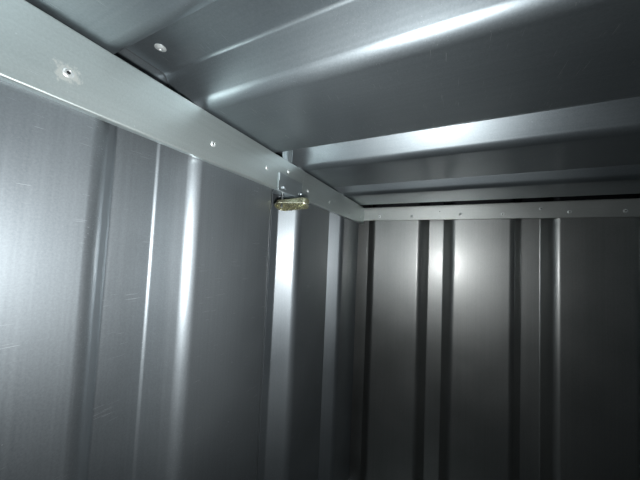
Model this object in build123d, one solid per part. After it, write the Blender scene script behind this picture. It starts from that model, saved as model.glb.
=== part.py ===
from build123d import *
import math
import os

# Storage container, bolted together from ribbed galvanised panels on a folded steel frame.
# Millimetres. The origin is the centre of the footprint at ground level, +Z is up and the doors face -Y.

# Layout
bays_wide = 2
bays_long = 3
bay_pitch = 1025.0  # one wall or roof panel, joint to joint
corner_allowance = 65.0  # from the last bay to the outside of the corner post
outer_height = 2200.0

# Ribbed sheet, seen from the room: wide flats, and ribs pressed away from the room
sheet_t = 1.0
rib_depth = 78.0
rib_mouth = 188.0  # width of a rib between its corners with the flats
rib_floor = 94.0  # width of its flat bottom
ribs_per_bay = 2  # one on the joint and the rest inside the panel
mouth_bend = 40.0  # inner radius where a rib leaves the flats
floor_bend = 20.0
corner_flat = 160.0  # from the outside of the corner to the first flat
sheet_setback = 6.0  # the sheets stop this far short of the outside corner
lap_start = 0.1  # share of the joint's web where the covered sheet starts
lap_end = 0.58  # share of the joint's web where the covering sheet ends

# Frame
post_t = 3.0
post_leg = 90.0
gate_post = 96.0  # square tube beside the doors
cap_t = 3.0
cap_bend = 3.5
cap_lip = 60.0  # how far the roof cap reaches over the ribs
cap_drop = 30.0  # how far it reaches down past the roof's flats
base_height = 120.0
base_t = 2.5
base_foot = 50.0
upstand = 50.0
frame_bend = 6.0

# Floor
bearers = 5
bearer_width = 60.0
bearer_t = 2.0
floor_t = 2.5
floor_gap = 1.0

# Inner top rails
rail_t = 2.5
rail_stand = 14.0  # from the wall's flats to the rail's face
rail_gap = 6.0  # under the roof's flats
side_rail_height = 123.0
end_rail_height = 95.0
rail_bend = 4.0
rail_joint_gap = 1.0
splice_after = 86.0  # from a panel joint to the end of a side rail's length

# Brackets over the side rails, at the panel joints: a folded plate, and an angle bolted to it whose
# shelf reaches into the wall's rib
bracket_t = 3.0
bracket_proud = 8.0  # from the rail's face to the angle's
bracket_before = 92.0  # reach towards the doors from the joint
bracket_after = 72.0  # reach towards the back
bracket_face = 61.0  # height over the rail's lower edge
bracket_shelf = 36.0  # depth of the shelf in the wall's rib
bracket_play = 5.0
angle_t = 1.5
angle_leg = 34.0  # height of its leg before the plate
angle_past = 6.0  # how far it starts before the plate

# Roof clamp: a stud, and a pressed cup that hangs on it and reaches into the room as a hand lever
stud_d = 10.0
stud_before = 49.0
stud_in = 8.0  # from the rail's face towards the wall
clamp_drop = 54.0  # from the shelf to the cup's open rim
clamp_t = 3.0
clamp_eye_d = 60.0  # round the stud
clamp_end_d = 44.0
clamp_reach = 90.0  # between the middles of the two round ends
clamp_eye_height = 17.0
clamp_end_height = 28.0

# Roof ties: angles that stand on the rail in the roof's joint rib
tie_before = 62.0
tie_width = 48.0
tie_flange = 11.0
tie_t = 2.5
tie_in = 6.5
tie_play = 8.0  # under the rib's web

# Doors
door_setback = 45.0
door_depth = 40.0
door_gap = 4.0
door_sheet = 1.5
door_ribs = 2
door_rib_mouth = 190.0
door_rib_floor = 140.0
door_rib_depth = 24.0
door_bend = 8.0
header_height = 165.0
header_depth = 60.0
door_clearance = 6.0
strip_width = 50.0
strip_t = 3.0
hinges_per_leaf = 3
hinge_d = 20.0
hinge_length = 90.0
hinge_strap = 70.0
hinge_t = 4.0
hinge_margin = 260.0
handle_height = 1050.0
handle_plate = (44.0, 220.0, 6.0)
handle_spindle_d = 22.0
handle_reach = 30.0
lever_length = 130.0
lever_section = (14.0, 20.0)
handle_from_edge = 60.0

# Derived places
half_width = bays_wide * bay_pitch / 2 + corner_allowance
half_length = bays_long * bay_pitch / 2 + corner_allowance
skin_in = post_t + sheet_t + rib_depth  # from the outside to the room side of the flats
rail_in = skin_in + rail_stand
roof_z = outer_height - cap_t - sheet_t - rib_depth  # underside of the roof's flats
raised_z = roof_z + rib_depth  # underside of the roof's ribs
rail_top = roof_z - rail_gap
side_rail_z = rail_top - side_rail_height
end_rail_z = rail_top - end_rail_height
cap_z = roof_z - cap_drop
rib_pitch = bay_pitch / ribs_per_bay
web_run = (rib_mouth - rib_floor) / 2
lap_shift = sheet_t / math.sin(math.atan2(rib_depth, web_run))
base_in = post_t + sheet_t + rib_depth + base_t  # from the outside to the inner face of the upstand
floor_z = base_height - floor_t
header_z = raised_z - header_height
opening = 2 * (half_width - gate_post)


def joint(bays, number):
    """Place of a panel joint along a wall; 0 and the last one are the walls' ends."""
    return (number - bays / 2) * bay_pitch


def rib(centre):
    """Four corners of one rib."""
    return [
        (centre - rib_mouth / 2, 0),
        (centre - rib_floor / 2, rib_depth),
        (centre + rib_floor / 2, rib_depth),
        (centre + rib_mouth / 2, 0),
    ]


def on_web(mouth, share):
    """A point on the web that starts at mouth, a share of the way down."""
    return (mouth + share * web_run, share * rib_depth)


def corner_points(half):
    """The sheet's end beside a corner: out on a web, then flat to the post."""
    return [
        (half - corner_flat, 0),
        (half - corner_flat + web_run, rib_depth),
        (half - sheet_setback, rib_depth),
    ]


def panel_points(bays, number, half, plain_start):
    """Section of one panel's room side, along the wall and away from the room."""
    left = joint(bays, number)
    right = joint(bays, number + 1)
    if number > 0:
        points = [on_web(left - rib_mouth / 2, lap_start)] + rib(left)[1:]
    elif plain_start:
        points = [(gate_post - half, 0)]
    else:
        points = [(-along, depth) for along, depth in reversed(corner_points(half))]
    for inner in range(1, ribs_per_bay):
        points += rib(left + inner * rib_pitch)
    if number < bays - 1:
        mouth = right - rib_mouth / 2 - lap_shift
        points += [(mouth, 0), on_web(mouth, lap_end)]
    else:
        points += corner_points(half)
    return points


def folded(points, thickness, bends, side):
    """Section of a sheet folded along points, its thickness on one side; bends is a radius or a list."""
    wire = Wire(FilletPolyline(*points, radius=bends).edges())
    return Face(wire.offset_2d(thickness, side=side, closed=True))


def run(section, plane, length):
    """A section placed on a plane and drawn out along its normal."""
    return extrude(plane * section, length, dir=plane.z_dir)


def panel(bays, number, half, plane, length, plain_start=False):
    points = panel_points(bays, number, half, plain_start)
    bends = [mouth_bend if depth == 0 else floor_bend for along, depth in points[1:-1]]
    return run(folded(points, sheet_t, bends, Side.LEFT), plane, length)


def block(low, high):
    """A box between two corners."""
    size = [high[axis] - low[axis] for axis in range(3)]
    return Pos(*low) * Box(*size, align=(Align.MIN, Align.MIN, Align.MIN))


def tube(low, high, wall, along):
    """A rectangular hollow section between two corners, open at its ends."""
    inset = [wall, wall, wall]
    inset[along] = 0
    inner_low = [low[axis] + inset[axis] for axis in range(3)]
    inner_high = [high[axis] - inset[axis] for axis in range(3)]
    return block(low, high) - block(inner_low, inner_high)


def to_right(shape):
    """The same piece on the other side of the container."""
    return mirror(shape, about=Plane.YZ)


# Walls and roof

def side_wall_panel(number):
    plane = Plane(origin=(skin_in - half_width, 0, base_height), x_dir=(0, 1, 0), z_dir=(0, 0, 1))
    return panel(bays_long, number, half_length, plane, roof_z - base_height, plain_start=True)


def back_wall_panel(number):
    plane = Plane(origin=(0, half_length - skin_in, base_height), x_dir=(1, 0, 0), z_dir=(0, 0, 1))
    return panel(bays_wide, number, half_width, plane, raised_z - base_height)


def roof_panel(number):
    reach = half_width - sheet_setback
    plane = Plane(origin=(-reach, 0, roof_z), x_dir=(0, 1, 0), z_dir=(1, 0, 0))
    return panel(bays_long, number, half_length, plane, 2 * reach)


# Frame

def back_post():
    """Angle on the back left corner, from the ground to the roof cap."""
    left = -half_width
    back = half_length
    side_leg = block((left, back - post_leg, 0), (left + post_t, back, cap_z))
    back_leg = block((left, back - post_t, 0), (left + post_leg, back, cap_z))
    return side_leg + back_leg


def front_post():
    """Square tube that carries a door leaf, on the front left corner."""
    low = (-half_width, -half_length, 0)
    high = (gate_post - half_width, gate_post - half_length, cap_z)
    return tube(low, high, post_t, 2)


def base_profile(plane, length):
    """Channel with a strip on top that holds the foot of the wall, inwards from the post's leg."""
    strip_in = skin_in - post_t
    points = [(base_foot, 0), (0, 0), (0, base_height), (strip_in + base_t, base_height)]
    channel = folded(points, base_t, frame_bend, Side.RIGHT)
    strip = Rectangle(base_t, base_t + upstand, align=(Align.MIN, Align.MIN))
    return run(channel, plane, length) + run(Pos(strip_in, base_height - base_t) * strip, plane, length)


def base_side_rail():
    back = half_length - base_in
    plane = Plane(origin=(post_t - half_width, back, 0), x_dir=(1, 0, 0), z_dir=(0, -1, 0))
    return base_profile(plane, back + half_length - gate_post)


def base_back_rail():
    reach = half_width - post_t
    plane = Plane(origin=(reach, half_length - post_t, 0), x_dir=(0, -1, 0), z_dir=(-1, 0, 0))
    rail = base_profile(plane, 2 * reach)
    low = (half_width - base_in, half_length - base_in, base_height)
    high = (half_width, half_length, base_height + upstand)
    corner = block(low, high)
    return rail - corner - to_right(corner)


def door_sill():
    reach = half_width - gate_post
    return tube((-reach, -half_length, 0), (reach, gate_post - half_length, base_height), base_t, 0)


def door_header():
    reach = half_width - gate_post
    front = cap_t - half_length
    return tube((-reach, front, header_z), (reach, front + header_depth, raised_z), post_t, 0)


def cap_section():
    """Angle over the ends of the roof's ribs; its corner is at the outside top edge."""
    points = [(0, cap_z - outer_height), (0, 0), (cap_lip, 0)]
    return folded(points, cap_t, cap_bend, Side.RIGHT)


def side_cap():
    plane = Plane(origin=(-half_width, half_length, outer_height), x_dir=(1, 0, 0), z_dir=(0, -1, 0))
    return run(cap_section(), plane, 2 * half_length)


def back_cap():
    """Cap between the side caps, cut to their section at both ends."""
    plane = Plane(origin=(half_width, half_length, outer_height), x_dir=(0, -1, 0), z_dir=(-1, 0, 0))
    cap = run(cap_section(), plane, 2 * half_width)
    for end in (-1, 1):
        web = Pos(end * (half_width - cap_t / 2), half_length, outer_height) * Box(
            cap_t, 2 * cap_lip, 4 * cap_lip
        )
        lip = Pos(end * (half_width - cap_lip / 2), half_length, outer_height) * Box(
            cap_lip, 2 * cap_lip, 2 * (cap_t + cap_bend)
        )
        cap -= web + lip
    return cap


# Floor

def floor_bearer_row():
    """Bearers across the container, between the webs of the base rails."""
    reach = half_width - post_t - frame_bend
    first = gate_post - half_length + bearer_width
    last = half_length - base_in - bearer_width
    step = (last - first) / (bearers - 1)
    row = []
    for number in range(bearers):
        middle = first + number * step
        low = (-reach, middle - bearer_width / 2, base_t)
        high = (reach, middle + bearer_width / 2, base_height - base_t)
        row.append(tube(low, high, bearer_t, 0))
    return Compound(row)


def floor_plate_row():
    reach = half_width - base_in - floor_gap
    front = gate_post - half_length + floor_gap
    back = half_length - base_in - floor_gap
    length = (back - front) / bays_long
    row = []
    for number in range(bays_long):
        start = front + number * length
        row.append(block((-reach, start, floor_z), (reach, start + length - 2 * floor_gap, base_height)))
    return Compound(row)


# Inner rails

def rail_section(height):
    """Shallow channel, open to the wall, whose lips touch the wall's flats."""
    points = [(0, 0), (rail_stand, 0), (rail_stand, height), (0, height)]
    return folded(points, rail_t, rail_bend, Side.LEFT)


def rail_splice(number):
    """End of a side rail's length, past the bracket on that joint."""
    return joint(bays_long, number) + splice_after


def side_top_rail(number):
    start = gate_post - half_length
    end = half_length - rail_in - rail_joint_gap
    if number > 0:
        start = rail_splice(number) + rail_joint_gap / 2
    if number < bays_long - 1:
        end = rail_splice(number + 1) - rail_joint_gap / 2
    plane = Plane(origin=(skin_in - half_width, end, side_rail_z), x_dir=(1, 0, 0), z_dir=(0, -1, 0))
    return run(rail_section(side_rail_height), plane, end - start)


def back_top_rail():
    reach = half_width - skin_in
    plane = Plane(origin=(reach, half_length - skin_in, end_rail_z), x_dir=(0, -1, 0), z_dir=(-1, 0, 0))
    return run(rail_section(end_rail_height), plane, 2 * reach)


# Brackets, clamps and ties at the panel joints

def rail_bracket(number):
    """Plate before the rail, folded back at its ends, and an angle with a shelf into the wall's rib."""
    middle = joint(bays_long, number)
    face = rail_in - half_width
    angle_face = face + bracket_proud
    outer = angle_face - angle_t
    start = middle - bracket_before
    end = middle + bracket_after
    bottom = side_rail_z - bracket_t
    top = side_rail_z + bracket_face
    plate = block((outer - bracket_t, start, bottom), (outer, end, top))
    for edge in (start, end - bracket_t):
        plate += block((face, edge, bottom), (outer, edge + bracket_t, top))
    plate += block((outer, start - angle_past, bottom), (angle_face, end, bottom + angle_leg))
    skin = skin_in - half_width
    mouth_half = rib_mouth / 2 - bracket_play
    foot_half = mouth_half - bracket_shelf * web_run / rib_depth
    outline = Polyline(
        (angle_face, start - angle_past),
        (angle_face, end),
        (skin, end),
        (skin - bracket_shelf, middle + min(foot_half, bracket_after)),
        (skin - bracket_shelf, middle - min(foot_half, bracket_before)),
        (skin, start),
        (face, start),
        (face, start - angle_past),
        close=True,
    )
    return plate + Pos(0, 0, bottom) * extrude(make_face(outline), bracket_t)


def clamp_form(eye_d, eye_height, end_height):
    """Solid between two round ends, its top sloping up from the eye to the far end."""
    shrink = clamp_eye_d - eye_d
    far_edge = clamp_reach + (clamp_end_d - shrink) / 2
    rounds = Sketch() + Circle(eye_d / 2) + Pos(clamp_reach, 0) * Circle((clamp_end_d - shrink) / 2)
    side = Polyline(
        (-eye_d / 2, 0),
        (far_edge, 0),
        (far_edge, end_height),
        (-eye_d / 2, eye_height),
        close=True,
    )
    outline = extrude(make_hull(rounds.edges()), end_height)
    return outline & extrude(Plane.XZ * make_face(side), eye_d, both=True)


def roof_clamp(number):
    """Stud under the shelf, with the cup round it, open downwards."""
    top = side_rail_z - bracket_t
    cup = clamp_form(clamp_eye_d, clamp_eye_height, clamp_end_height)
    cup -= clamp_form(clamp_eye_d - 2 * clamp_t, clamp_eye_height - clamp_t, clamp_end_height - clamp_t)
    stud = Cylinder(stud_d / 2, clamp_drop, align=(Align.CENTER, Align.CENTER, Align.MIN))
    place = Pos(rail_in - half_width - stud_in, joint(bays_long, number) - stud_before, top - clamp_drop)
    return place * (cup + stud)


def roof_tie(number):
    """Angle standing on the side rail, cut to the slope of the roof's joint rib."""
    middle = joint(bays_long, number)
    outer = rail_in - half_width - tie_in
    start = middle - tie_before
    end = start + tie_width
    bend_run = floor_bend * math.tan(math.atan2(rib_depth, web_run) / 2)
    web_z = roof_z + (rib_mouth / 2 - tie_before) * rib_depth / web_run
    outline = Polyline(
        (start, rail_top),
        (end, rail_top),
        (end, raised_z),
        (middle - rib_floor / 2 + bend_run, raised_z),
        (start, web_z - tie_play),
        close=True,
    )
    plane = Plane(origin=(outer, 0, 0), x_dir=(0, 1, 0), z_dir=(1, 0, 0))
    plate = run(make_face(outline), plane, tie_t)
    flange = block((outer, end - tie_t, rail_top), (outer + tie_flange, end, raised_z))
    return plate + flange


# Doors

leaf_width = (opening - 3 * door_gap) / 2
leaf_z = base_height + door_clearance
leaf_top = header_z - door_clearance
leaf_face = door_setback - half_length


def door_leaf():
    """Left leaf: a pressed sheet with returned edges, closed at the top and bottom."""
    left = gate_post - half_width + door_gap
    points = [(0, door_depth), (0, 0)]
    for number in range(door_ribs):
        centre = leaf_width * (number + 0.5) / door_ribs
        points += [
            (centre - door_rib_mouth / 2, 0),
            (centre - door_rib_floor / 2, door_rib_depth),
            (centre + door_rib_floor / 2, door_rib_depth),
            (centre + door_rib_mouth / 2, 0),
        ]
    points += [(leaf_width, 0), (leaf_width, door_depth)]
    section = folded(points, door_sheet, door_bend, Side.LEFT)
    skin = extrude(Pos(left, leaf_face, leaf_z) * section, leaf_top - leaf_z)
    leaf = skin
    for z in (leaf_z, leaf_top - door_sheet):
        low = (left + door_bend, leaf_face + door_sheet, z)
        high = (left + leaf_width - door_bend, leaf_face + door_depth, z + door_sheet)
        leaf += block(low, high)
    return leaf


def door_cover_strip():
    """Flat bar down the middle, over the gap between the leaves."""
    low = (-strip_width / 2, leaf_face - strip_t, leaf_z)
    high = (strip_width / 2, leaf_face, leaf_top)
    return block(low, high)


def door_hinge_row():
    """Hinges of the left leaf: a barrel in front of the gap, its strap and its post plate."""
    post_side = gate_post - half_width
    barrel_y = leaf_face - hinge_d / 2
    step = (leaf_top - leaf_z - 2 * hinge_margin) / (hinges_per_leaf - 1)
    row = []
    for number in range(hinges_per_leaf):
        middle = leaf_z + hinge_margin + number * step
        barrel = Pos(post_side + hinge_d / 2, barrel_y, middle) * Cylinder(hinge_d / 2, hinge_length)
        strap_low = (post_side + hinge_d / 2, leaf_face - hinge_t, middle - hinge_length / 3)
        strap_high = (post_side + hinge_d / 2 + hinge_strap, leaf_face, middle + hinge_length / 3)
        tab_low = (post_side, barrel_y - hinge_d / 2, middle - hinge_length / 2)
        tab_high = (post_side + hinge_t, barrel_y + hinge_d / 2, middle + hinge_length / 2)
        row.append(barrel + block(strap_low, strap_high) + block(tab_low, tab_high))
    return Compound(row)


def door_handle():
    """Lever handle on its plate, on the right leaf beside the cover strip."""
    across = strip_width / 2 + handle_from_edge
    wide, tall, thick = handle_plate
    plate = block(
        (across - wide / 2, leaf_face - thick, handle_height - tall / 2),
        (across + wide / 2, leaf_face, handle_height + tall / 2),
    )
    spindle = Pos(across, leaf_face - handle_reach / 2, handle_height) * Rot(90, 0, 0) * Cylinder(
        handle_spindle_d / 2, handle_reach
    )
    depth, height = lever_section
    lever = block(
        (across - height / 2, leaf_face - handle_reach - depth / 2, handle_height - height / 2),
        (across + lever_length, leaf_face - handle_reach + depth / 2, handle_height + height / 2),
    )
    return plate + spindle + lever


def save(name, shape):
    export_step(shape, f"parts/{name}.step")
    print(name)


def save_pair(name, shape):
    """Saves a left piece and its mirror image on the right."""
    save(name.format("left"), shape)
    save(name.format("right"), to_right(shape))


os.makedirs("parts", exist_ok=True)

for number in range(bays_long):
    place = ("front", "middle", "back")[number]
    save_pair("{}_wall_" + place, side_wall_panel(number))
    save_pair("{}_top_rail_" + place, side_top_rail(number))
    save("roof_panel_" + place, roof_panel(number))

for number, side in enumerate(("left", "right")):
    save("back_wall_" + side, back_wall_panel(number))
save("back_top_rail", back_top_rail())

save_pair("back_post_{}", back_post())
save_pair("front_post_{}", front_post())
save_pair("base_rail_{}", base_side_rail())
save("base_rail_back", base_back_rail())
save("door_sill", door_sill())
save("door_header", door_header())
save("floor_bearers", floor_bearer_row())
save("floor_plates", floor_plate_row())

save_pair("roof_cap_{}", side_cap())
save("roof_cap_back", back_cap())
save("roof_cap_front", mirror(back_cap(), about=Plane.XZ))

joints = range(1, bays_long)
save_pair("{}_rail_brackets", Compound([rail_bracket(number) for number in joints]))
save_pair("{}_roof_clamps", Compound([roof_clamp(number) for number in joints]))
save_pair("{}_roof_ties", Compound([roof_tie(number) for number in joints]))

save_pair("door_leaf_{}", door_leaf())
save_pair("door_hinges_{}", door_hinge_row())
save("door_cover_strip", door_cover_strip())
save("door_handle", door_handle())
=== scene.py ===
import math

import bmesh
import bpy
from mathutils import Matrix, Vector, noise


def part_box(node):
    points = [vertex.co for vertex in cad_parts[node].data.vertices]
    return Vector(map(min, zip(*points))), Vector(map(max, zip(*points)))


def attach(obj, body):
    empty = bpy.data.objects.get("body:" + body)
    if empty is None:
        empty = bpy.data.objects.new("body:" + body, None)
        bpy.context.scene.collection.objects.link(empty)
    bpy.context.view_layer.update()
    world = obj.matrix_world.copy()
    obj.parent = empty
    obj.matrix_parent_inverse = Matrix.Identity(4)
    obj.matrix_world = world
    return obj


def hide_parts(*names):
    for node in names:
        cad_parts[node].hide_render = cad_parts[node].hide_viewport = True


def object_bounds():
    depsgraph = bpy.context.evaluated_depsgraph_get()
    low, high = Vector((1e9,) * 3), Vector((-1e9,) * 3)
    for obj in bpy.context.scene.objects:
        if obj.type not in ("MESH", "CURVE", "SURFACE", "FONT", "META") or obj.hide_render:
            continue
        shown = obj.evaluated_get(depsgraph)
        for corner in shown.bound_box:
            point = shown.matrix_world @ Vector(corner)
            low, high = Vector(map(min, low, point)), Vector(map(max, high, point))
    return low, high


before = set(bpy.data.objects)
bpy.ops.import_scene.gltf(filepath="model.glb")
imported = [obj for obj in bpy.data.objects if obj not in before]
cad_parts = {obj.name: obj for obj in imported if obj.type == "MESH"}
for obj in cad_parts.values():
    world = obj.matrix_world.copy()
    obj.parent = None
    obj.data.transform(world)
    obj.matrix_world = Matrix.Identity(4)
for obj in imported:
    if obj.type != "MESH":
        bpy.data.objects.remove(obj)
cad_low, cad_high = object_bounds()

# Sizes in metres, as the container is built
bays_wide = 2
bays_long = 3
bay_pitch = 1.025
rib_mouth = 0.188
rib_floor = 0.094
rib_depth = 0.078
ribs_per_bay = 2
mouth_bend = 0.040
floor_bend = 0.010
corner_flat = 0.160
sheet_setback = 0.006
sheet_t = 0.001
lap_start = 0.1
lap_end = 0.58
gate_post = 0.096
rail_t = 0.0025
rail_bend = 0.004

# Brackets, clamps and ties at the panel joints
bracket_t = 0.003
bracket_bend = 0.0042
bracket_proud = 0.008
bracket_before = 0.092
bracket_after = 0.072
bracket_face = 0.061
bracket_shelf = 0.036
bracket_play = 0.005
bracket_edge = 0.0009
angle_t = 0.0015
angle_bend = 0.0022
angle_leg = 0.034
angle_past = 0.006
angle_under = 0.0002
thin_edge = 0.0003
stud_d = 0.010
stud_point = 0.001
thread_pitch = 0.003
thread_depth = 0.0007
stud_before = 0.049
stud_in = 0.008
clamp_drop = 0.054
clamp_t = 0.003
clamp_eye_d = 0.060
clamp_end_d = 0.044
clamp_reach = 0.090
clamp_eye_height = 0.017
clamp_end_height = 0.028
clamp_rim = 0.003
clamp_shoulder = 0.004
clamp_curl = 0.005
rim_out = 0.3
rim_up = 0.8
rim_radius = 0.6
clamp_tilt = math.radians(22)
tie_before = 0.062
tie_width = 0.048
tie_flange = 0.011
tie_t = 0.0025
tie_in = 0.0065
tie_play = 0.008

# Fasteners
rivet_d = 0.015
end_rivet_d = 0.019
roof_rivet_d = 0.023
rivet_proud = 0.0032
rivet_bore = 0.0068
pin_share = 0.48
hole_d = 0.006
bolt_across = 0.013
bolt_head = 0.0053
washer_d = 0.017
washer_t = 0.0016
bolt_turn = math.radians(11)
# Rivets with a pale patch, worn zinc at the first and a painted highlight at the second: place along the
# wall, height over the rail's edge, radius of the patch
worn_and_highlight_rivets = [(-0.160, 0.048, 0.019), (0.484, 0.082, 0.011)]

half_width = cad_high.x
half_length = cad_high.y
web_run = (rib_mouth - rib_floor) / 2
lap_shift = sheet_t / math.sin(math.atan2(rib_depth, web_run))

# Places, read from the frame
wall_low, wall_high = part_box("left_wall_back")
end_low, end_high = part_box("back_wall_left")
roof_low, roof_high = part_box("roof_panel_back")
side_rail_low, side_rail_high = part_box("left_top_rail_back")
end_rail_low, end_rail_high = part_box("back_top_rail")
side_flat = wall_high.x
end_flat = end_low.y
roof_flat = roof_low.z
rail_face = side_rail_high.x
end_rail_face = end_rail_low.y

# Painted shade in the gap under the roof: full up to one height over the rails and lighter past the
# other
shade_deep = 0.063
shade_end = 0.068
shade_edge = 0.002
shade_thin = 0.55
outer_skin = 0.001

# Sheet waviness
wave_height = 0.0004
wave_length = 0.34

# Grain of the zinc
cloud_size = 0.35
line_size = 0.006
grain_size = 0.0035
scratch_size = 0.0011
speck_size = 0.0016
film_roughness = 0.24

# Points nearer than this are one point
weld_reach = 1e-5


def joint(bays, number):
    """Place of a panel joint along a wall."""
    return (number - bays / 2) * bay_pitch


def rib(centre):
    """Four corners of one rib."""
    return [
        (centre - rib_mouth / 2, 0),
        (centre - rib_floor / 2, rib_depth),
        (centre + rib_floor / 2, rib_depth),
        (centre + rib_mouth / 2, 0),
    ]


def on_web(mouth, share):
    return (mouth + share * web_run, share * rib_depth)


def corner_points(half):
    return [
        (half - corner_flat, 0),
        (half - corner_flat + web_run, rib_depth),
        (half - sheet_setback, rib_depth),
    ]


def panel_points(bays, number, half, plain_start):
    """Corners of one panel's room side: (along the wall, away from the room)."""
    left = joint(bays, number)
    right = joint(bays, number + 1)
    if number > 0:
        points = [on_web(left - rib_mouth / 2, lap_start)] + rib(left)[1:]
    elif plain_start:
        points = [(gate_post - half, 0)]
    else:
        points = [(-along, depth) for along, depth in reversed(corner_points(half))]
    for inner in range(1, ribs_per_bay):
        points += rib(left + inner * bay_pitch / ribs_per_bay)
    if number < bays - 1:
        mouth = right - rib_mouth / 2 - lap_shift
        points += [(mouth, 0), on_web(mouth, lap_end)]
    else:
        points += corner_points(half)
    return points


# Nodes for materials

def linear(colour):
    """An sRGB hex colour as linear red, green, blue and alpha."""
    parts = [int(colour[place:place + 2], 16) / 255 for place in (1, 3, 5)]
    return [(p / 12.92 if p <= 0.04045 else ((p + 0.055) / 1.055) ** 2.4) for p in parts] + [1.0]


def add(tree, kind, inputs=None, **settings):
    """Adds a node, sets its options, and gives each input a value or a link."""
    node = tree.nodes.new(kind)
    for name, value in settings.items():
        setattr(node, name, value)
    for name, value in (inputs or {}).items():
        if isinstance(value, bpy.types.NodeSocket):
            tree.links.new(value, node.inputs[name])
        else:
            node.inputs[name].default_value = value
    return node


def new_material(name):
    material = bpy.data.materials.new(name)
    material.use_nodes = True
    material.node_tree.nodes.clear()
    return material


def object_coordinates(tree, scale=(1, 1, 1), turn=(0, 0, 0)):
    place = add(tree, "ShaderNodeTexCoord")
    return add(
        tree, "ShaderNodeMapping", {"Vector": place.outputs["Object"], "Scale": scale, "Rotation": turn}
    ).outputs["Vector"]


def noise_of(tree, size, stretch=(1, 1, 1), turn=(0, 0, 0), detail=2.0, roughness=0.5):
    """Noise whose grain is size metres, drawn out where stretch is over 1."""
    scale = [1 / (size * s) for s in stretch]
    vector = object_coordinates(tree, scale, turn)
    settings = {"Vector": vector, "Scale": 1.0, "Detail": detail, "Roughness": roughness}
    return add(tree, "ShaderNodeTexNoise", settings).outputs["Fac"]


def ramp(tree, value, low, high, start=0.0, end=1.0):
    return add(
        tree,
        "ShaderNodeMapRange",
        {"Value": value, "From Min": low, "From Max": high, "To Min": start, "To Max": end},
    ).outputs["Result"]


def sums(tree, operation, first, second):
    return add(tree, "ShaderNodeMath", {0: first, 1: second}, operation=operation).outputs["Value"]


def blend_colours(tree, share, first, second):
    mix = add(tree, "ShaderNodeMix", {"Factor": share}, data_type="RGBA")
    for index, colour in ((6, first), (7, second)):
        if isinstance(colour, str):
            mix.inputs[index].default_value = linear(colour)
        else:
            tree.links.new(colour, mix.inputs[index])
    return mix.outputs[2]


def scratches(tree, turn, size, cut):
    """Thin straight marks along one direction, 1 on a mark and 0 beside it."""
    marks = noise_of(tree, size, stretch=(1, 45, 1), turn=turn, detail=0.0)
    patches = noise_of(tree, size * 70, detail=1.0)
    return sums(tree, "MULTIPLY", ramp(tree, marks, cut, cut + 0.03), ramp(tree, patches, 0.58, 0.66))


def specks(tree, size, share):
    """Round spots at random places, 1 inside a spot."""
    vector = object_coordinates(tree, [1 / (size * 9)] * 3)
    cells = add(tree, "ShaderNodeTexVoronoi", {"Vector": vector, "Scale": 1.0})
    inside = ramp(tree, cells.outputs["Distance"], 0.09, 0.04)
    chosen = ramp(tree, cells.outputs["Color"], 1 - share, 1 - share + 0.01)
    return sums(tree, "MULTIPLY", inside, chosen)


def painted_gap_shade(tree):
    """1 where shade is painted near black into the gap under the roof, over the rails and behind the
    caps, else 0.
    """
    place = add(tree, "ShaderNodeTexCoord").outputs["Object"]
    parts = add(tree, "ShaderNodeSeparateXYZ", {"Vector": place})
    height = parts.outputs["Z"]
    rail_top = side_rail_high.z
    share = ramp(tree, height, rail_top, rail_top + shade_edge)
    fainter = ramp(tree, height, rail_top + shade_deep, rail_top + shade_end, 1.0, shade_thin)
    share = sums(tree, "MULTIPLY", share, fainter)
    for axis, outside in (("X", half_width), ("Y", half_length), ("Z", cad_high.z)):
        away = sums(tree, "ABSOLUTE", parts.outputs[axis], 0.0)
        inside = ramp(tree, away, outside - outer_skin / 2, outside - outer_skin)
        share = sums(tree, "MULTIPLY", share, inside)
    return share


def worn_and_highlight_patches(tree, spots):
    """1 on a ragged round patch about each spot, where the colour turns pale, and 0 elsewhere; one patch
    is worn zinc, the other a painted highlight.
    """
    place = object_coordinates(tree)
    ragged = noise_of(tree, 0.008, detail=5.0, roughness=0.65)
    share = 0.0
    for spot, radius in spots:
        away = add(tree, "ShaderNodeVectorMath", {0: place, 1: spot}, operation="DISTANCE")
        away = away.outputs["Value"]
        edge = sums(tree, "ADD", away, ramp(tree, ragged, 0.3, 0.7, -radius * 0.45, radius * 0.45))
        share = sums(tree, "MAXIMUM", ramp(tree, edge, radius * 0.95, radius * 0.6), share)
    return share


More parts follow.
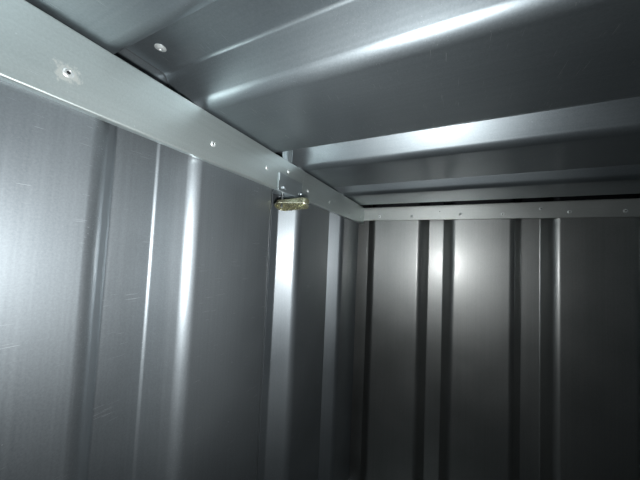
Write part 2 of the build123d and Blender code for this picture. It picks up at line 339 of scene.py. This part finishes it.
def galvanised(name, pale, dark, streak, shine, metal=0.85, coat=0.12, gap_shade=False, pale_spots=()):
    """Zinc-coated steel: soft grey metal with duller clouds, and rolling lines along one axis."""
    material = new_material(name)
    tree = material.node_tree
    clouds = noise_of(tree, cloud_size, detail=3.0)
    stretch = [120 if axis == streak else 1 for axis in "XYZ"]
    lines = noise_of(tree, line_size, stretch=stretch, detail=2.0)
    grain = noise_of(tree, grain_size, detail=3.0, roughness=0.75)
    shade = ramp(tree, clouds, 0.3, 0.7, 0.0, 0.45)
    shade = sums(tree, "ADD", shade, ramp(tree, lines, 0.3, 0.7, 0.0, 0.15))
    shade = sums(tree, "ADD", shade, ramp(tree, grain, 0.3, 0.7, 0.0, 0.40))
    colour = blend_colours(tree, shade, dark, pale)
    mark = sums(
        tree,
        "MAXIMUM",
        scratches(tree, (0.5, 0.3, 0.9), scratch_size, 0.77),
        scratches(tree, (1.4, 0.8, 0.2), 0.0010, 0.78),
    )
    spot = specks(tree, speck_size, 0.10)
    bright = sums(tree, "MAXIMUM", sums(tree, "MULTIPLY", mark, 0.35), sums(tree, "MULTIPLY", spot, 0.6))
    colour = blend_colours(tree, bright, colour, "#e4eaec")
    # Pale patches: worn zinc at one rivet and a painted highlight at the other
    if pale_spots:
        worn = sums(tree, "MULTIPLY", worn_and_highlight_patches(tree, pale_spots), 0.7)
        colour = blend_colours(tree, worn, colour, "#e6e8e2")
    # Painted shade: near black in the gap over the rails and inside the caps
    if gap_shade:
        colour = blend_colours(tree, painted_gap_shade(tree), colour, "#15171a")
    rough = sums(
        tree,
        "ADD",
        ramp(tree, clouds, 0.3, 0.7, shine - 0.02, shine + 0.02),
        ramp(tree, lines, 0.3, 0.7, -0.01, 0.01),
    )
    rough = sums(tree, "ADD", rough, ramp(tree, grain, 0.3, 0.7, -0.02, 0.02))
    grain_height = sums(tree, "MULTIPLY", grain, 0.00003)
    height = sums(tree, "ADD", grain_height, sums(tree, "MULTIPLY", lines, 0.00001))
    bump = add(tree, "ShaderNodeBump", {"Height": height, "Strength": 0.5, "Distance": 1.0})
    shader = add(
        tree,
        "ShaderNodeBsdfPrincipled",
        {
            "Base Color": colour,
            "Metallic": metal,
            "Roughness": rough,
            "Normal": bump.outputs["Normal"],
            "Coat Weight": coat,
            "Coat Roughness": film_roughness,
        },
    )
    output = add(tree, "ShaderNodeOutputMaterial", {"Surface": shader.outputs["BSDF"]})
    output.is_active_output = True
    return material


def plated(name, colour, worn, shine, metal=1.0):
    """Thin zinc plating on a fastener: brighter than the sheet, dulled in small clouds."""
    material = new_material(name)
    tree = material.node_tree
    clouds = noise_of(tree, 0.012, detail=3.0)
    mixed = blend_colours(tree, ramp(tree, clouds, 0.35, 0.7), colour, worn)
    rough = ramp(tree, clouds, 0.3, 0.7, shine - 0.06, shine + 0.08)
    bump = add(
        tree, "ShaderNodeBump", {"Height": noise_of(tree, 0.0015), "Strength": 0.25, "Distance": 0.0002}
    )
    shader = add(
        tree,
        "ShaderNodeBsdfPrincipled",
        {"Base Color": mixed, "Metallic": metal, "Roughness": rough, "Normal": bump.outputs["Normal"]},
    )
    add(tree, "ShaderNodeOutputMaterial", {"Surface": shader.outputs["BSDF"]})
    return material


# Rolled sheet with hot-dip zinc under a clear film: satin grey, with a wide glare down the ribs
# Its top over the rails takes the painted gap shade
wall_sheet = galvanised(
    "galvanised_sheet_wall_rolled", "#8f979b", "#71797e", "Z", 0.51, 0.89, 0.8, gap_shade=True
)
# The end wall's sheet: smoother and neutral, so the glare has a firmer core
# Its top over the end rail takes the painted gap shade
end_sheet = galvanised(
    "galvanised_sheet_end_rolled", "#9b9e9d", "#7c807f", "Z", 0.42, 0.93, 0.8, gap_shade=True
)
# The roof's sheet: cool grey, bright where a rib's web faces the light and dark on its flats
roof_sheet = galvanised("galvanised_sheet_roof_rolled", "#97a1a5", "#798389", "X", 0.46, 0.91, 0.5)

# Thicker folded strip: paler and flatter than the sheet, with a pale patch at two rivets, worn zinc at
# one and a painted highlight at the other
worn_and_highlight_spots = [((rail_face, y, side_rail_low.z + up), radius) for y, up, radius in worn_and_highlight_rivets]
side_rail_steel = galvanised(
    "galvanised_rail_side_folded", "#c9d3d2", "#abb6b5", "Y", 0.46, pale_spots=worn_and_highlight_spots
)
end_rail_steel = galvanised("galvanised_rail_end_folded", "#babfbd", "#9ba09e", "X", 0.44)

# Posts, base rails and caps dipped after folding: even grey with little glare
# The caps' inner faces over the rails take the painted gap shade
frame_steel = galvanised("galvanised_frame_hot_dipped", "#a9afb1", "#878f93", "Z", 0.48, gap_shade=True)
# Door sheet: as the walls, with a much thinner film, so its bends glare less
door_steel = galvanised("galvanised_door_sheet_pressed", "#9ca3a6", "#7c8489", "Z", 0.45)
# Floor plate scuffed by use: dull and darker
floor_steel = galvanised("galvanised_floor_plate_scuffed", "#7b8081", "#5f6566", "Y", 0.55)
# Bracket and tie strip: newer zinc, a little bluer and glossier than the rail behind it
bracket_steel = galvanised("galvanised_bracket_folded", "#b2bdc0", "#97a2a6", "Y", 0.38, 0.85, 0.4)

# Electroplated bolts, studs and door fittings: bright, with sharp small glints
zinc_plate = plated("zinc_plated_fastener_turned", "#c3c8ca", "#8c9295", 0.30)
# Rivet flanges: pale discs that stand out from the rail
rivet_zinc = plated("zinc_plated_rivet_pressed", "#e0e6e6", "#c6cccc", 0.34, 0.6)
# Yellow passivation worn thin: pale olive over silver
yellow_zinc = plated("yellow_passivated_zinc_pressed", "#b8b89e", "#8f8f76", 0.26, 0.85)
# The clamp's rolled rim, painted near white as a highlight: a thin white line
rim_painted_highlight = plated("zinc_rim_painted_highlight", "#eeeee8", "#d8d8ce", 0.30, 0.5)
# Snapped steel pins and open holes: near black dots, painted shade in the holes and in the dimples the
# pins fill
pin_steel_and_bore_shade = plated("steel_pin_and_painted_bore_shade", "#2c2f31", "#1c1e1f", 0.60, 0.3)


# Meshes

def finish_piece(name, bm, material, nodes=(), crease=math.radians(32)):
    """Turns a bmesh into a shown piece that rides on the container."""
    mesh = bpy.data.meshes.new(name)
    bm.to_mesh(mesh)
    bm.free()
    mesh.shade_smooth()
    mesh.set_sharp_from_angle(angle=crease)
    piece = bpy.data.objects.new(name, mesh)
    bpy.context.scene.collection.objects.link(piece)
    mesh.materials.append(material)
    weighted = piece.modifiers.new("weighted", "WEIGHTED_NORMAL")
    weighted.keep_sharp = True
    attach(piece, "root")
    if nodes:
        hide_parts(*nodes)


def rib_bends(points):
    """Bend radius at each inner corner: wide where a rib leaves the flats, tighter at its floor."""
    return [mouth_bend if depth == 0 else floor_bend for along, depth in points[1:-1]]


def folded_line(bm, points, radii, segments):
    """A line of corner points in the XY plane, with each corner rounded."""
    verts = [bm.verts.new((x, y, 0)) for x, y in points]
    for first, second in zip(verts, verts[1:]):
        bm.edges.new((first, second))
    for corner in range(1, len(points) - 1):
        before = Vector(points[corner]) - Vector(points[corner - 1])
        after = Vector(points[corner + 1]) - Vector(points[corner])
        offset = radii[corner - 1] * math.tan(before.angle(after) / 2)
        bmesh.ops.bevel(
            bm,
            geom=[verts[corner]],
            offset=offset,
            offset_type="OFFSET",
            segments=segments,
            profile=0.5,
            affect="VERTICES",
            material=-1,
        )


def split_long_edges(bm, longest):
    """Cuts the section's long straight edges into shorter ones."""
    for edge in bm.edges[:]:
        cuts = int(edge.calc_length() / longest)
        if cuts:
            bmesh.ops.subdivide_edges(bm, edges=[edge], cuts=cuts)


def folded_sheet(
    points, radii, length, thickness, place, shows, mirrored=False, segments=8, step=0.06, wave=0.0
):
    """Sheet folded along points and drawn out along Z, with its thickness behind the side that shows."""
    bm = bmesh.new()
    folded_line(bm, points, radii, segments)
    split_long_edges(bm, step)
    rows = max(1, round(length / step))
    bmesh.ops.spin(
        bm,
        geom=bm.verts[:] + bm.edges[:],
        cent=(0, 0, 0),
        axis=(0, 0, 1),
        dvec=(0, 0, length / rows),
        angle=0.0,
        steps=rows,
        use_merge=False,
        use_duplicate=False,
    )
    bmesh.ops.recalc_face_normals(bm, faces=bm.faces[:])
    if sum(face.normal.dot(shows) * face.calc_area() for face in bm.faces) < 0:
        bmesh.ops.reverse_faces(bm, faces=bm.faces[:])
    if wave:
        for vert in bm.verts:
            spot = (vert.co.x / wave_length, vert.co.z / (2 * wave_length), place.translation.x)
            vert.co.y += wave * noise.noise(spot)
    bmesh.ops.solidify(bm, geom=bm.faces[:], thickness=thickness)
    return placed(bm, place, mirrored)


def placed(bm, place, mirrored=False):
    """Moves a bmesh to its place; mirrored puts it on the other side of the container."""
    bm.transform(place)
    if mirrored:
        bm.transform(Matrix.Scale(-1, 4, (1, 0, 0)))
        bmesh.ops.reverse_faces(bm, faces=bm.faces[:])
    return bm


def frame_of(along, depth, up, origin):
    """Matrix that puts local X, Y and Z along three directions from an origin."""
    turn = Matrix((along, depth, up)).transposed().to_4x4()
    return Matrix.Translation(origin) @ turn


def facing(point, normal):
    """Matrix that puts local Z along a surface's normal at a point."""
    return Matrix.Translation(point) @ Vector(normal).to_track_quat("Z", "Y").to_matrix().to_4x4()


def turned(profile, steps=24):
    """Shape of revolution about Z through (radius, height) points."""
    bm = bmesh.new()
    verts = [bm.verts.new((radius, 0, height)) for radius, height in profile]
    edges = [bm.edges.new(pair) for pair in zip(verts, verts[1:])]
    bmesh.ops.spin(
        bm,
        geom=verts + edges,
        cent=(0, 0, 0),
        axis=(0, 0, 1),
        angle=2 * math.pi,
        steps=steps,
        use_merge=True,
        use_duplicate=False,
    )
    bmesh.ops.remove_doubles(bm, verts=bm.verts[:], dist=1e-6)
    bmesh.ops.recalc_face_normals(bm, faces=bm.faces[:])
    return bm


def merge(bm, part, place=Matrix.Identity(4)):
    """Adds a copy of one bmesh to another."""
    mesh = bpy.data.meshes.new("part")
    part.to_mesh(mesh)
    start = len(bm.verts)
    bm.from_mesh(mesh)
    bpy.data.meshes.remove(mesh)
    bm.verts.ensure_lookup_table()
    bmesh.ops.transform(bm, matrix=place, verts=bm.verts[start:])


def repeated(pattern, places):
    """One bmesh with a copy of pattern at each place."""
    bm = bmesh.new()
    for place in places:
        merge(bm, pattern, place)
    pattern.free()
    return bm


def both_sides(bm):
    """Adds the mirror image on the other side of the container."""
    other = bm.copy()
    other.transform(Matrix.Scale(-1, 4, (1, 0, 0)))
    bmesh.ops.reverse_faces(other, faces=other.faces[:])
    merge(bm, other)
    other.free()
    return bm


def soften(bm, width, least=math.radians(35)):
    """Breaks the sharp edges with a small rounded chamfer."""
    sharp = [edge for edge in bm.edges if edge.is_manifold and edge.calc_face_angle() > least]
    bmesh.ops.bevel(
        bm,
        geom=sharp,
        offset=width,
        offset_type="OFFSET",
        segments=2,
        profile=0.5,
        affect="EDGES",
        material=-1,
        clamp_overlap=True,
    )
    bmesh.ops.remove_doubles(bm, verts=bm.verts[:], dist=weld_reach)
    return bm


def prism(outline, height, edge=0.0004):
    """Plate with the given outline in XY, from Z 0 up."""
    bm = bmesh.new()
    face = bmesh.ops.contextual_create(bm, geom=[bm.verts.new((x, y, 0)) for x, y in outline])["faces"]
    raised = bmesh.ops.extrude_face_region(bm, geom=face, use_keep_orig=True)["geom"]
    top = [part for part in raised if isinstance(part, bmesh.types.BMVert)]
    bmesh.ops.translate(bm, vec=(0, 0, height), verts=top)
    bmesh.ops.recalc_face_normals(bm, faces=bm.faces[:])
    return soften(bm, edge)


def rivet(size):
    """Large-flange rivet: a low dome with the dimple that its pin leaves."""
    bore = rivet_bore / 2
    return turned(
        [
            (0, rivet_proud * 0.6),
            (bore * 0.7, rivet_proud * 0.6),
            (bore, rivet_proud * 0.95),
            (size * 0.25, rivet_proud),
            (size * 0.33, rivet_proud * 0.5),
            (size * 0.46, rivet_proud * 0.3),
            (size / 2, rivet_proud / 8),
            (size / 2, -rivet_proud / 4),
            (0, -rivet_proud / 4),
        ],
        20,
    )


def rivet_pin():
    """Snapped end of the rivet's steel pin, wide enough to fill the dimple, painted near black as the
    dimple's shade.
    """
    radius = rivet_bore * pin_share
    return turned([(0, rivet_proud * 0.75), (radius, rivet_proud * 0.72), (radius, 0), (0, 0)], 12)


def hex_bolt():
    """Hexagon head with its chamfered crown, on a flat washer."""
    bm = turned([(0, washer_t), (washer_d / 2, washer_t), (washer_d / 2, 0), (0, 0)], 24)
    soften(bm, washer_t / 5)
    head = bmesh.new()
    corner_radius = bolt_across / 2 / math.cos(math.pi / 6)
    bmesh.ops.create_cone(
        head, cap_ends=True, segments=6, radius1=corner_radius, radius2=corner_radius, depth=bolt_head
    )
    soften(head, bolt_head / 9)
    merge(bm, head, Matrix.Translation((0, 0, washer_t + bolt_head / 2)))
    head.free()
    return bm


def node_copy(node, edge=0.0):
    """A CAD node's mesh, merged and with its sharp edges broken."""
    bm = bmesh.new()
    bm.from_mesh(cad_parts[node].data)
    bmesh.ops.remove_doubles(bm, verts=bm.verts[:], dist=weld_reach)
    bmesh.ops.dissolve_limit(
        bm,
        angle_limit=math.radians(0.5),
        use_dissolve_boundaries=False,
        verts=bm.verts[:],
        edges=bm.edges[:],
        delimit=set(),
    )
    if edge:
        soften(bm, edge, math.radians(50))
    return bm


# Ribbed walls and roof

places = ("front", "middle", "back")
x_axis = Vector((1, 0, 0))
y_axis = Vector((0, 1, 0))
z_axis = Vector((0, 0, 1))
room_side = -y_axis
rail_side = x_axis

side_place = frame_of(y_axis, -x_axis, z_axis, (side_flat, 0, wall_low.z))
for number, place in enumerate(places):
    points = panel_points(bays_long, number, half_length, True)
    for side in ("left", "right"):
        node = f"{side}_wall_{place}"
        bm = folded_sheet(
            points,
            rib_bends(points),
            wall_high.z - wall_low.z,
            sheet_t,
            side_place,
            room_side,
            side == "right",
            wave=wave_height,
        )
        finish_piece(f"{node}_sheet", bm, wall_sheet, [node])

end_place = frame_of(x_axis, y_axis, z_axis, (0, end_flat, end_low.z))
for number, side in enumerate(("left", "right")):
    node = f"back_wall_{side}"
    points = panel_points(bays_wide, number, half_width, False)
    length = end_high.z - end_low.z
    bm = folded_sheet(points, rib_bends(points), length, sheet_t, end_place, room_side, wave=wave_height)
    finish_piece(f"{node}_sheet", bm, end_sheet, [node])

roof_place = frame_of(y_axis, z_axis, x_axis, (roof_low.x, 0, roof_flat))
for number, place in enumerate(places):
    node = f"roof_panel_{place}"
    points = panel_points(bays_long, number, half_length, False)
    length = roof_high.x - roof_low.x
    bends = rib_bends(points)
    bm = folded_sheet(points, bends, length, sheet_t, roof_place, room_side, wave=wave_height)
    finish_piece(f"{node}_sheet", bm, roof_sheet, [node])


# Inner top rails

def rail_points(depth, height):
    return [(0, 0), (depth, 0), (depth, height), (0, height)]


for place in places:
    low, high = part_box(f"left_top_rail_{place}")
    turn = frame_of(x_axis, z_axis, -y_axis, (low.x, high.y, low.z))
    points = rail_points(high.x - low.x, high.z - low.z)
    for side in ("left", "right"):
        node = f"{side}_top_rail_{place}"
        mirrored = side == "right"
        length = high.y - low.y
        bm = folded_sheet(points, [rail_bend] * 2, length, rail_t, turn, rail_side, mirrored, segments=5)
        finish_piece(f"{node}_channel", bm, side_rail_steel, [node])

low, high = end_rail_low, end_rail_high
turn = frame_of(-y_axis, z_axis, -x_axis, (high.x, high.y, low.z))
points = rail_points(high.y - low.y, high.z - low.z)
bm = folded_sheet(points, [rail_bend] * 2, high.x - low.x, rail_t, turn, rail_side, segments=5)
finish_piece("back_top_rail_channel", bm, end_rail_steel, ["back_top_rail"])


# Rivets along the rails and in the roof, heights over the rail's lower edge

side_rail_rivets = [
    (-1.360, 0.046),
    (-1.070, 0.048),
    (-0.770, 0.052),
    (-0.460, 0.048),
    (-0.160, 0.048),
    (0.129, 0.048),
    (0.353, 0.056),
    (0.484, 0.082),
    (0.644, 0.046),
    (0.877, 0.043),
    (1.178, 0.033),
    (1.429, 0.044),
]
end_rail_rivets = [
    (-0.881, 0.029),
    (-0.664, 0.026),
    (-0.372, 0.032),
    (-0.153, 0.028),
    (0.026, 0.055),
    (0.148, 0.033),
    (0.363, 0.032),
    (0.664, 0.028),
    (0.881, 0.029),
]
end_rail_holes = [(-0.491, 0.053), (0.491, 0.053)]
roof_rivet_in = 0.079
roof_rivet_before = 0.011

side_places = [facing((rail_face, y, side_rail_low.z + up), x_axis) for y, up in side_rail_rivets]
rivets = both_sides(repeated(rivet(rivet_d), side_places))
finish_piece("side_rail_rivets", rivets, rivet_zinc)

end_places = [facing((x, end_rail_face, end_rail_low.z + up), -y_axis) for x, up in end_rail_rivets]
finish_piece("end_rail_rivets", repeated(rivet(end_rivet_d), end_places), rivet_zinc)

# Open holes: near black discs on the rail, painted shade in place of the holes
hole_places = [facing((x, end_rail_face, end_rail_low.z + up), -y_axis) for x, up in end_rail_holes]
hole = turned([(0, 0.0001), (hole_d / 2, 0.0001), (hole_d / 2, -0.001), (0, -0.001)])
finish_piece("end_rail_open_holes", repeated(hole, hole_places), pin_steel_and_bore_shade)

pins = both_sides(repeated(rivet_pin(), side_places))
finish_piece("side_rail_rivet_pins", pins, pin_steel_and_bore_shade)
finish_piece("end_rail_rivet_pins", repeated(rivet_pin(), end_places), pin_steel_and_bore_shade)

rib_places = [number * bay_pitch / ribs_per_bay for number in range(-2, 3)]
roof_places = [
    facing((-half_width + roof_rivet_in, y - roof_rivet_before, roof_flat + rib_depth), -z_axis)
    for y in rib_places
]
roof_rivets = both_sides(repeated(rivet(roof_rivet_d), roof_places))
finish_piece("roof_rivets", roof_rivets, rivet_zinc)


# Brackets on the side rails

def rail_bracket(middle):
    """Folded plate before the rail, and an angle bolted to it, with a shelf into the wall's rib."""
    outer = rail_face + bracket_proud - angle_t
    bottom = side_rail_low.z - bracket_t
    start = middle - bracket_before
    end = middle + bracket_after
    points = [(-end, 0), (-end, outer - rail_face), (-start, outer - rail_face), (-start, 0)]
    bm = folded_sheet(
        points,
        [bracket_bend] * 2,
        side_rail_low.z + bracket_face - bottom,
        bracket_t,
        frame_of(-y_axis, x_axis, z_axis, (rail_face, 0, bottom)),
        y_axis,
        segments=4,
    )
    soften(bm, bracket_edge)
    leg_start = start - angle_past
    points = [(angle_t, angle_leg), (angle_t, 0), (-bracket_proud, 0)]
    leg = folded_sheet(
        points,
        [angle_bend],
        end - leg_start,
        angle_t,
        frame_of(x_axis, z_axis, -y_axis, (outer, end, bottom - angle_under)),
        x_axis,
        segments=3,
    )
    soften(leg, thin_edge)
    merge(bm, leg)
    leg.free()
    mouth_half = rib_mouth / 2 - bracket_play
    foot_half = mouth_half - bracket_shelf * web_run / rib_depth
    shelf = prism(
        [
            (outer - bracket_t, start),
            (outer - bracket_t, end),
            (side_flat, end),
            (side_flat - bracket_shelf, middle + min(foot_half, bracket_after)),
            (side_flat - bracket_shelf, middle - min(foot_half, bracket_before)),
            (side_flat, start),
        ],
        bracket_t,
    )
    merge(bm, shelf, Matrix.Translation((0, 0, bottom)))
    shelf.free()
    return bm


bracket_bolts = [(-0.066, 0.0155), (0.060, 0.018)]
joint_places = [joint(bays_long, number) for number in range(1, bays_long)]
brackets = bmesh.new()
bolts = bmesh.new()
for middle in joint_places:
    merge(brackets, rail_bracket(middle))
    for along, up in bracket_bolts:
        spot = (rail_face + bracket_proud, middle + along, side_rail_low.z - bracket_t + up)
        merge(bolts, hex_bolt(), facing(spot, x_axis) @ Matrix.Rotation(bolt_turn, 4, "Z"))
left_brackets = brackets.copy()
finish_piece("left_bracket_plates", left_brackets, bracket_steel, ["left_rail_brackets"])
brackets = placed(brackets, Matrix.Identity(4), True)
finish_piece("right_bracket_plates", brackets, bracket_steel, ["right_rail_brackets"])
finish_piece("bracket_bolts", both_sides(bolts), zinc_plate)


# Roof clamps

def lever_loop(bm, grow, eye_height, end_height):
    """Closed line round the clamp's two round ends, grown outwards and lifted at each end."""
    ring = bmesh.ops.create_circle(bm, cap_ends=False, segments=48, radius=1.0)["verts"]
    for vert in ring:
        far = vert.co.x > 0.01
        size = (clamp_end_d if far else clamp_eye_d) / 2 - clamp_rim + grow
        share = 1.0 if far else 0.0
        vert.co = (
            vert.co.x * size + share * clamp_reach,
            vert.co.y * size,
            eye_height + share * (end_height - eye_height),
        )
    return list({edge for vert in ring for edge in vert.link_edges})


def clamp_cup():
    """Pressed cup, open downwards, with a rolled rim and a round shoulder."""
    bm = bmesh.new()
    soft = clamp_shoulder * 0.3
    ceiling = clamp_t + 0.002
    # From the inside over the rim to the top: step outwards, height at the eye, height at the far end
    inside = [
        (-clamp_t - 0.003, clamp_eye_height - clamp_t, clamp_end_height - clamp_t),
        (-clamp_t, clamp_eye_height - ceiling, clamp_end_height - ceiling),
        (-clamp_t, clamp_curl * 0.6, clamp_curl * 0.6),
        (-clamp_t + 0.001, clamp_curl * 0.16, clamp_curl * 0.16),
    ]
    rim = [
        (0.0, 0.0, 0.0),
        (clamp_rim * 0.7, clamp_curl * 0.12, clamp_curl * 0.12),
        (clamp_rim, clamp_curl * 0.4, clamp_curl * 0.4),
        (clamp_rim * 0.6, clamp_curl * 0.76, clamp_curl * 0.76),
        (0.0, clamp_curl, clamp_curl),
    ]
    outside = [
        (0.0, clamp_eye_height - clamp_shoulder, clamp_end_height - clamp_shoulder),
        (-soft, clamp_eye_height - soft, clamp_end_height - soft),
        (-clamp_shoulder, clamp_eye_height, clamp_end_height),
    ]
    loops = [lever_loop(bm, *stage) for stage in inside + rim + outside]
    for inner, outer in zip(loops, loops[1:]):
        bmesh.ops.bridge_loops(bm, edges=inner + outer)
    bmesh.ops.contextual_create(bm, geom=loops[0])
    bmesh.ops.contextual_create(bm, geom=loops[-1])
    bmesh.ops.recalc_face_normals(bm, faces=bm.faces[:])
    return bm


def clamp_edge():
    """The cup's rolled rim by itself, to carry a painted highlight."""
    bm = bmesh.new()
    turns = 8
    loops = []
    for turn in range(turns):
        angle = 2 * math.pi * turn / turns
        grow = clamp_rim * (rim_out + rim_radius * math.cos(angle))
        height = clamp_rim * (rim_up + rim_radius * math.sin(angle))
        loops.append(lever_loop(bm, grow, height, height))
    for inner, outer in zip(loops, loops[1:] + loops[:1]):
        bmesh.ops.bridge_loops(bm, edges=inner + outer)
    bmesh.ops.recalc_face_normals(bm, faces=bm.faces[:])
    return bm


def roof_stud():
    """Stud from the cup's rim up to the shelf, with its thread as a row of ridges."""
    crest = stud_d / 2
    root = crest - thread_depth
    outline = [(0, 0), (crest - stud_point, 0)]
    for turn in range(int(clamp_drop / thread_pitch)):
        low = stud_point + turn * thread_pitch
        outline += [(root, low), (crest, low + thread_pitch / 3), (root, low + thread_pitch * 2 / 3)]
    outline += [(crest - stud_point, clamp_drop), (0, clamp_drop)]
    return turned(outline, 16)


cups = bmesh.new()
rims = bmesh.new()
studs = bmesh.new()
for middle in joint_places:
    spot = (rail_face - stud_in, middle - stud_before, side_rail_low.z - bracket_t - clamp_drop)
    hang = Matrix.Translation(spot) @ Matrix.Rotation(-clamp_tilt, 4, "X")
    merge(cups, clamp_cup(), hang)
    merge(rims, clamp_edge(), hang)
    merge(studs, roof_stud(), Matrix.Translation(spot))
left_cups = cups.copy()
finish_piece("left_clamp_cups", left_cups, yellow_zinc, ["left_roof_clamps"])
cups = placed(cups, Matrix.Identity(4), True)
finish_piece("right_clamp_cups", cups, yellow_zinc, ["right_roof_clamps"])
# The rims are painted near white as a highlight
finish_piece("clamp_rims", both_sides(rims), rim_painted_highlight)
finish_piece("clamp_studs", both_sides(studs), zinc_plate)


# Ties between the side rails and the roof

def roof_tie(middle):
    """Folded angle that stands on the rail, cut to the slope of the roof's joint rib."""
    outer = rail_face - tie_in
    start = middle - tie_before
    end = start + tie_width
    rail_top = side_rail_high.z
    bm = folded_sheet(
        [(outer, start), (outer, end - tie_t / 2), (outer + tie_flange, end - tie_t / 2)],
        [tie_t],
        roof_flat + rib_depth - rail_top,
        tie_t,
        Matrix.Translation((0, 0, rail_top)),
        x_axis,
        segments=4,
    )
    bend_run = floor_bend * math.tan(math.atan2(rib_depth, web_run) / 2)
    web_height = (rib_mouth / 2 - tie_before) * rib_depth / web_run
    cut_from = Vector((outer, start, roof_flat + web_height - tie_play))
    cut_to = Vector((outer, middle - rib_floor / 2 + bend_run, roof_flat + rib_depth))
    slope = cut_to - cut_from
    cut = bmesh.ops.bisect_plane(
        bm,
        geom=bm.verts[:] + bm.edges[:] + bm.faces[:],
        dist=1e-6,
        plane_co=cut_from,
        plane_no=Vector((0, -slope.z, slope.y)),
        clear_outer=True,
    )["geom_cut"]
    bmesh.ops.contextual_create(bm, geom=[part for part in cut if isinstance(part, bmesh.types.BMEdge)])
    return soften(bm, thin_edge)


ties = bmesh.new()
for middle in joint_places:
    merge(ties, roof_tie(middle))
left_ties = ties.copy()
finish_piece("left_tie_angles", left_ties, bracket_steel, ["left_roof_ties"])
ties = placed(ties, Matrix.Identity(4), True)
finish_piece("right_tie_angles", ties, bracket_steel, ["right_roof_ties"])


# Frame, floor and doors, with their edges broken

for node, material, slot, edge in (
    ("front_post_left", frame_steel, "frame_steel", 0.003),
    ("front_post_right", frame_steel, "frame_steel", 0.003),
    ("back_post_left", frame_steel, "frame_steel", 0.001),
    ("back_post_right", frame_steel, "frame_steel", 0.001),
    ("door_sill", frame_steel, "frame_steel", 0.002),
    ("door_header", frame_steel, "frame_steel", 0.002),
    ("base_rail_left", frame_steel, "frame_steel", 0.0005),
    ("base_rail_right", frame_steel, "frame_steel", 0.0005),
    ("base_rail_back", frame_steel, "frame_steel", 0.0005),
    ("roof_cap_left", frame_steel, "frame_steel", 0.0006),
    ("roof_cap_right", frame_steel, "frame_steel", 0.0006),
    ("roof_cap_front", frame_steel, "frame_steel", 0.0006),
    ("roof_cap_back", frame_steel, "frame_steel", 0.0006),
    ("door_leaf_left", door_steel, "door_sheet", 0.0),
    ("door_leaf_right", door_steel, "door_sheet", 0.0),
    ("door_cover_strip", door_steel, "door_sheet", 0.0008),
    ("door_hinges_left", zinc_plate, "frame_steel", 0.0008),
    ("door_hinges_right", zinc_plate, "frame_steel", 0.0008),
    ("door_handle", zinc_plate, "handle_steel", 0.0015),
    ("floor_plates", floor_steel, "floor_steel", 0.0006),
    ("floor_bearers", frame_steel, "frame_steel", 0.001),
):
    finish_piece(f"{node}_steel", node_copy(node, edge), material, [node])


# Camera, solved from the photograph's straight edges, in metres

corner = Vector((rail_face, end_rail_face, roof_flat))
camera_from_corner = Vector((0.5487, -1.8500, -0.3496))
camera_lens = 14.73
look_right = Vector((0.89948, 0.43471, 0.04432))
look_down = Vector((0.01840, 0.06366, -0.99780))
look_ahead = Vector((-0.43657, 0.89832, 0.04926))

camera_data = bpy.data.cameras.new("camera")
camera_data.lens = camera_lens
camera_data.sensor_width = 36.0
camera_data.clip_start = 0.01
camera = bpy.data.objects.new("camera", camera_data)
camera.matrix_world = frame_of(look_right, -look_down, -look_ahead, corner + camera_from_corner)
bpy.context.scene.collection.objects.link(camera)
bpy.context.scene.camera = camera


# Lights: a hand lamp held just under the camera, and three soft studio lamps outside

hand_lamp_size = 0.012
sky_light = 0.45
sky_seen = 0.95


def lamp(name, kind, place, energy, **settings):
    data = bpy.data.lights.new(name, kind)
    data.energy = energy
    for setting, value in settings.items():
        setattr(data, setting, value)
    light = bpy.data.objects.new(name, data)
    light.matrix_world = place
    bpy.context.scene.collection.objects.link(light)


eye = corner + camera_from_corner
lamp_under_eye = eye + Vector((0.0, 0.05, -0.065))
hand_place = Matrix.Translation(lamp_under_eye)
lamp("hand_lamp", "POINT", hand_place, 10.5, shadow_soft_size=hand_lamp_size)
for name, ahead, energy, width in (
    ("hand_lamp_beam", look_ahead, 36.0, 130.0),
    ("hand_lamp_spill", Vector((-0.70, 0.55, 0.32)), 15.5, 125.0),
):
    lamp(
        name,
        "SPOT",
        hand_place @ ahead.to_track_quat("-Z", "Y").to_matrix().to_4x4(),
        energy,
        spot_size=math.radians(width),
        spot_blend=1.0,
        shadow_soft_size=hand_lamp_size,
    )

for name, spot, size, energy in (
    ("studio_key", (5.0, -6.0, 6.5), 5.0, 700.0),
    ("studio_fill", (-6.5, -3.0, 4.0), 5.0, 300.0),
    ("studio_back", (3.0, 7.0, 6.0), 5.0, 450.0),
):
    aim = (Vector((0, 0, 1.0)) - Vector(spot)).to_track_quat("-Z", "Y").to_matrix().to_4x4()
    lamp(name, "AREA", Matrix.Translation(spot) @ aim, energy, shape="SQUARE", size=size)

world = bpy.data.worlds.new("studio")
bpy.context.scene.world = world
world.use_nodes = True
tree = world.node_tree
tree.nodes.clear()
path = add(tree, "ShaderNodeLightPath")
seen = sums(
    tree,
    "MAXIMUM",
    path.outputs["Is Camera Ray"],
    sums(tree, "MAXIMUM", path.outputs["Is Glossy Ray"], path.outputs["Is Transmission Ray"]),
)
strength = ramp(tree, seen, 0.0, 1.0, sky_light, sky_seen)
sky = add(tree, "ShaderNodeBackground", {"Color": linear("#f4f5f6"), "Strength": strength})
add(tree, "ShaderNodeOutputWorld", {"Surface": sky.outputs["Background"]})

floor_material = new_material("studio_floor_pale_painted")
tree = floor_material.node_tree
floor_shader = add(
    tree, "ShaderNodeBsdfPrincipled", {"Base Color": linear("#dcdcda"), "Roughness": 0.85}
)
add(tree, "ShaderNodeOutputMaterial", {"Surface": floor_shader.outputs["BSDF"]})
bm = bmesh.new()
bmesh.ops.create_grid(bm, x_segments=1, y_segments=1, size=25.0)
floor_mesh = bpy.data.meshes.new("studio_floor")
bm.to_mesh(floor_mesh)
bm.free()
floor_mesh.materials.append(floor_material)
studio_floor = bpy.data.objects.new("studio_floor", floor_mesh)
bpy.context.scene.collection.objects.link(studio_floor)

bpy.context.scene.view_settings.view_transform = "Standard"
